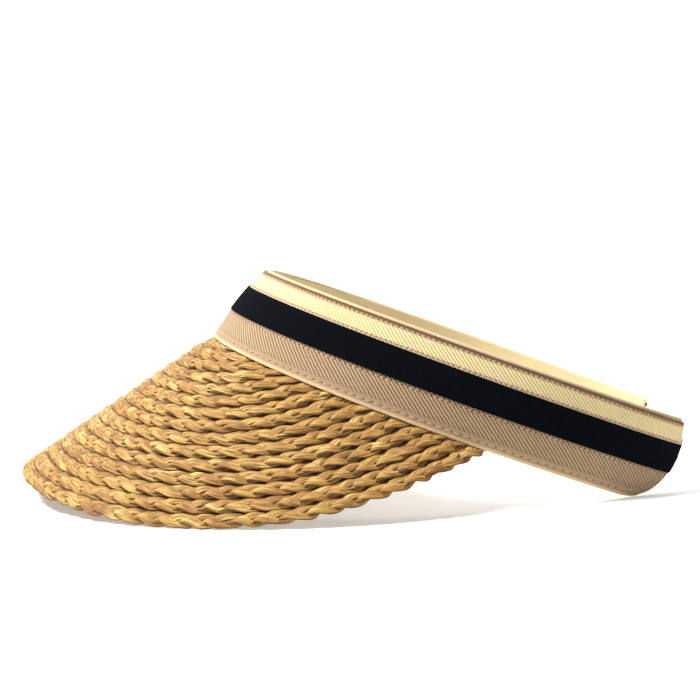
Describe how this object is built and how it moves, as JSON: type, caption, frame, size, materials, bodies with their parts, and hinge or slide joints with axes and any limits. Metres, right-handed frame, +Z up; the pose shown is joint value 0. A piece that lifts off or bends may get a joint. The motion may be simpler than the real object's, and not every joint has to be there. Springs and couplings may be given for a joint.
{
  "type": "sun visor",
  "caption": "Open-back sun visor: a springy C-shaped band of twill tape with a dark ribbon, and a deep curved brim of plaited raffia",
  "frame": {"origin": "on the table, under the middle of the visor's box, as it stands on the brim's side edges and the rear corners of the arms", "axes": "+Z up, -Y the way the brim points, +X the wearer's left"},
  "size_m": [0.227, 0.2729, 0.0915],
  "materials": {
    "raffia": "plaited natural raffia, golden straw, dry and matt with a slight sheen on the fibres",
    "twill": "undyed cotton twill tape with plain selvages, matt",
    "ribbon": "black grosgrain ribbon with fine cross ribs, low sheen",
    "spring": "natural polypropylene strip, hidden in the band",
    "lining": "undyed cotton twill lining, matt",
    "thread": "beige polyester sewing thread"
  },
  "bodies": {
    "visor_front": {"grosgrain_ribbon_front": "ribbon", "inner_lining_front": "lining", "lower_edge_seam_front": "thread", "plait_row_01": "raffia", "plait_row_02": "raffia", "plait_row_03": "raffia", "plait_row_04": "raffia", "plait_row_05": "raffia", "plait_row_06": "raffia", "plait_row_07": "raffia", "plait_row_08": "raffia", "plait_row_09": "raffia", "plait_row_10": "raffia", "plait_row_11": "raffia", "plait_row_12": "raffia", "plait_row_13": "raffia", "plait_row_14": "raffia", "plait_row_15": "raffia", "ribbon_lower_seam_front": "thread", "ribbon_upper_seam_front": "thread", "spring_strip_front": "spring", "twill_tape_front": "twill", "upper_edge_seam_front": "thread"},
    "left_arm": {"grosgrain_ribbon_left_arm": "ribbon", "inner_lining_left_arm": "lining", "lower_edge_seam_left_arm": "thread", "ribbon_lower_seam_left_arm": "thread", "ribbon_upper_seam_left_arm": "thread", "spring_strip_left_arm": "spring", "twill_tape_left_arm": "twill", "upper_edge_seam_left_arm": "thread"},
    "right_arm": {"grosgrain_ribbon_right_arm": "ribbon", "inner_lining_right_arm": "lining", "lower_edge_seam_right_arm": "thread", "ribbon_lower_seam_right_arm": "thread", "ribbon_upper_seam_right_arm": "thread", "spring_strip_right_arm": "spring", "twill_tape_right_arm": "twill", "upper_edge_seam_right_arm": "thread"}
  },
  "joints": [
    {"name": "left_arm_flex", "type": "hinge", "parent": "visor_front", "child": "left_arm", "pos_m": [0.06939, 0.07069, 0.03369], "axis": [0.1735, -0.3236, -0.9301], "range_deg": [-8, 20], "stiffness_Nm_per_rad": 1.2},
    {"name": "right_arm_flex", "type": "hinge", "parent": "visor_front", "child": "right_arm", "pos_m": [-0.06939, 0.07069, 0.03369], "axis": [0.1735, 0.3236, 0.9301], "range_deg": [-8, 20], "stiffness_Nm_per_rad": 1.2}
  ]
}
